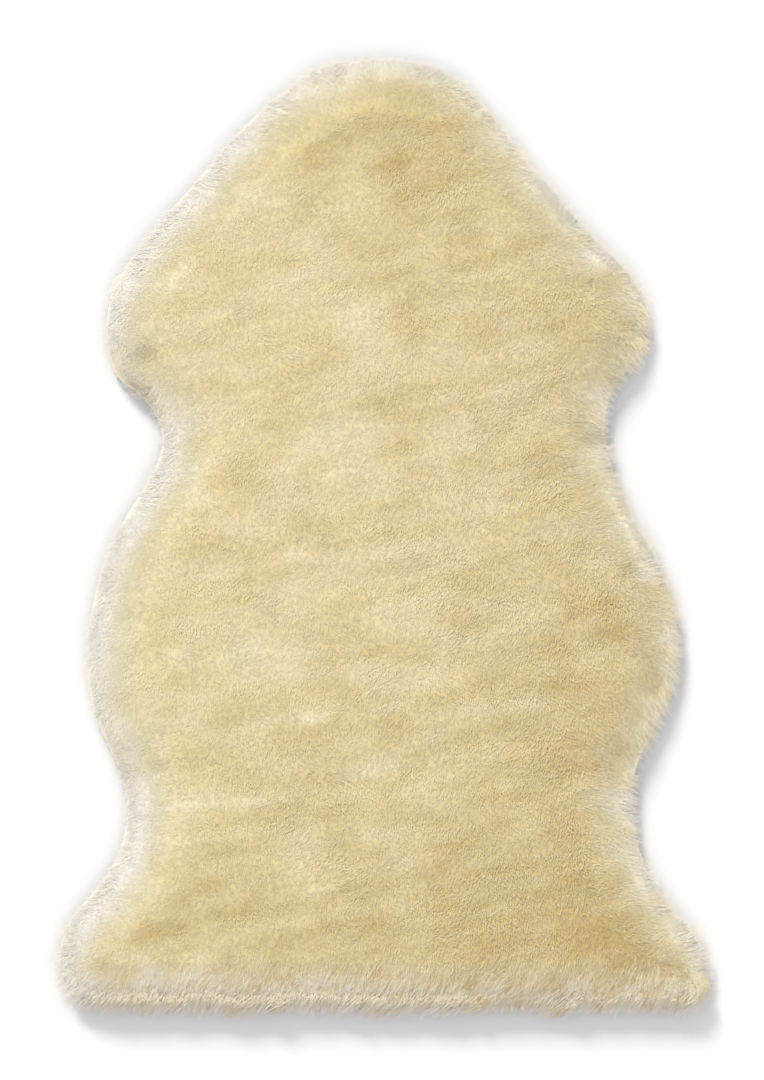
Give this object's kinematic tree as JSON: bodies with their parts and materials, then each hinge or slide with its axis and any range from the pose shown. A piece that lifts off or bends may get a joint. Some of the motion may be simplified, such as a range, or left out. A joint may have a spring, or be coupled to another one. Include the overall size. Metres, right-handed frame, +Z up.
{
  "type": "sheepskin rug",
  "caption": "Natural sheepskin laid flat, wool side up: a skin-shaped mat of dense shorn cream wool, full and rounded at its rim, with locks fanning out all round.",
  "frame": {"origin": "on the floor, under the middle of the rug's bounding box", "axes": "+Z up out of the wool, +Y towards the neck end, +X towards the right foreleg as seen from above with the neck at the top"},
  "size_m": [0.6214, 0.9056, 0.0325],
  "materials": {
    "wool": "matte",
    "skin": "matte"
  },
  "bodies": {
    "root": {"pelt": "wool"}
  },
  "joints": []
}
